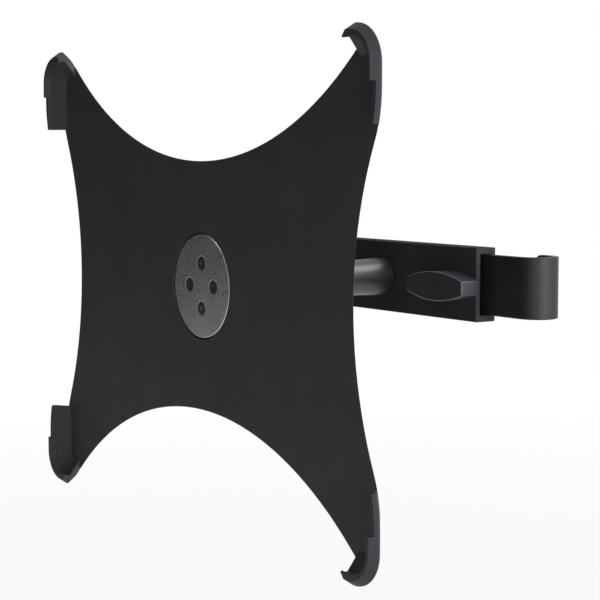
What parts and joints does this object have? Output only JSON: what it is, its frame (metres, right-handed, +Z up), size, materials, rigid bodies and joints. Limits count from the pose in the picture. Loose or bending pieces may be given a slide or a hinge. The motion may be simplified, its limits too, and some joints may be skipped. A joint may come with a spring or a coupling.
{
  "type": "headrest tablet holder",
  "caption": "Tablet cradle with corner claws on a hollow-sided plate, carried by a ball joint and post on a flat arm whose sliding hooks grip headrest posts.",
  "frame": {"origin": "centre of the arm's back face, which looks at the headrest", "axes": "+X to the right seen from the cradle's front, +Y to the back, +Z up"},
  "size_m": [0.248, 0.1235, 0.195],
  "materials": {
    "cradle_plastic": "fine moulded grain, satin black",
    "joint_plastic": "moulded satin black",
    "collar_plastic": "moulded satin black, fluted",
    "seat_nylon": "natural nylon",
    "washer_fibre": "dark fibre",
    "zinc_steel": "zinc plated, turned",
    "black_steel": "black oxide",
    "arm_plastic": "satin black",
    "hook_coat": "black powder coat on bent steel strip",
    "knob_plastic": "moulded satin black",
    "brass": "turned"
  },
  "bodies": {
    "arm": {"arm_housing": "arm_plastic", "thread_inserts": "brass", "neck_post": "joint_plastic", "post_screw": "zinc_steel", "locating_pins": "zinc_steel"},
    "seat": {"seat_cup": "seat_nylon", "seat_ring": "seat_nylon"},
    "socket": {"socket_cup": "joint_plastic", "rear_washer": "washer_fibre", "front_washer": "washer_fibre", "retaining_disc": "zinc_steel", "disc_screws": "black_steel"},
    "collar": {"lock_collar": "collar_plastic"},
    "cradle": {"cradle_shell": "cradle_plastic"},
    "right_slider": {"right_hook": "hook_coat"},
    "right_pad": {"right_clamp_pad": "zinc_steel"},
    "right_knob": {"right_clamp_screw": "zinc_steel", "right_clamp_knob": "knob_plastic"},
    "left_slider": {"left_hook": "hook_coat"},
    "left_pad": {"left_clamp_pad": "zinc_steel"},
    "left_knob": {"left_clamp_screw": "zinc_steel", "left_clamp_knob": "knob_plastic"}
  },
  "joints": [
    {"name": "ball_tilt", "type": "hinge", "parent": "arm", "child": "seat", "pos_m": [0, -0.0755, 0], "axis": [1, 0, 0], "range_deg": [-20, 20]},
    {"name": "ball_swivel", "type": "hinge", "parent": "seat", "child": "socket", "pos_m": [0, -0.0755, 0], "axis": [0, 0, 1], "range_deg": [-20, 20]},
    {"name": "collar_turn", "type": "hinge", "parent": "socket", "child": "collar", "pos_m": [0, -0.0755, 0], "axis": [0, 1, 0], "range_deg": [0, 90]},
    {"name": "cradle_rotate", "type": "hinge", "parent": "socket", "child": "cradle", "pos_m": [0, -0.098, 0], "axis": [0, 1, 0], "continuous": true},
    {"name": "right_hook_slide", "type": "slide", "parent": "arm", "child": "right_slider", "axis": [1, 0, 0], "range_m": [-0.018, 0.02]},
    {"name": "right_pad_press", "type": "slide", "parent": "arm", "child": "right_pad", "axis": [0, -1, 0], "range_m": [0, 0.0005]},
    {"name": "right_knob_turn", "type": "hinge", "parent": "right_pad", "child": "right_knob", "pos_m": [0.0452, -0.015, -0.0009], "axis": [0, -1, 0], "range_deg": [0, 180]},
    {"name": "left_hook_slide", "type": "slide", "parent": "arm", "child": "left_slider", "axis": [-1, 0, 0], "range_m": [-0.018, 0.02]},
    {"name": "left_pad_press", "type": "slide", "parent": "arm", "child": "left_pad", "axis": [0, -1, 0], "range_m": [0, 0.0005]},
    {"name": "left_knob_turn", "type": "hinge", "parent": "left_pad", "child": "left_knob", "pos_m": [-0.0452, -0.015, -0.0009], "axis": [0, -1, 0], "range_deg": [0, 180]}
  ],
  "couplings": [
    {"joint": "right_knob_turn", "follows": "right_pad_press", "rad_per_m": 6283.2},
    {"joint": "left_knob_turn", "follows": "left_pad_press", "rad_per_m": 6283.2}
  ]
}
